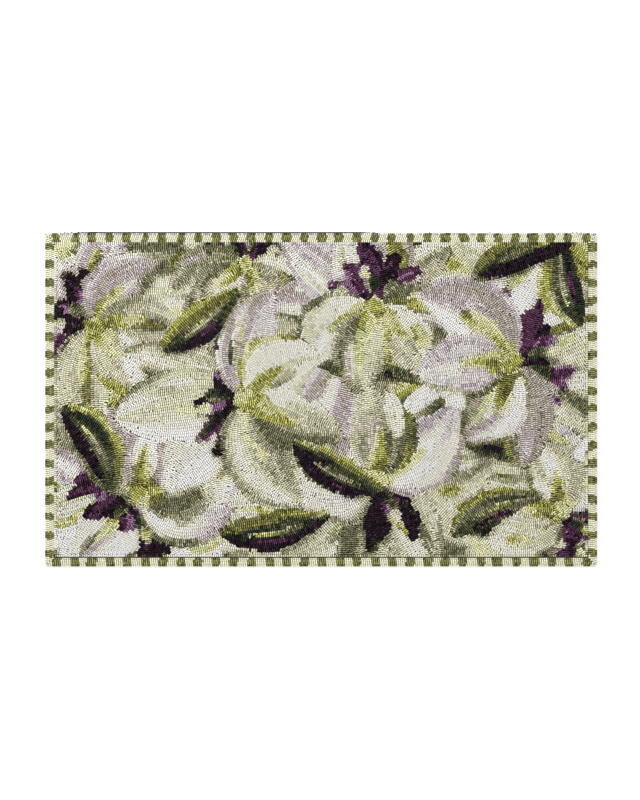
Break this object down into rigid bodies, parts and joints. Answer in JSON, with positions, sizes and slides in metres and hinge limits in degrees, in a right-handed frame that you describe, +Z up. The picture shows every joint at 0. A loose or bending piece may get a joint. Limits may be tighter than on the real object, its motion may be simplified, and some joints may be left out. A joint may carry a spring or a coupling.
{
  "type": "flat hooked wool rug",
  "caption": "Flat oblong hooked wool rug: low looped pile with a floral field, a border of light and dark blocks and a whipped thread edge.",
  "frame": {"origin": "middle of the flat underside, on the floor", "axes": "+X along the rug's long side, +Y across it towards the side where the whipped edge shows, +Z up out of the pile"},
  "size_m": [1.5239, 0.923, 0.0115],
  "materials": {
    "hooked_wool": "matte looped wool pile",
    "overcast_thread": "matte twisted thread",
    "ground_cloth": "matte plain woven canvas"
  },
  "bodies": {
    "root": {"pile": "hooked_wool", "whipped_edge": "overcast_thread"}
  },
  "joints": []
}
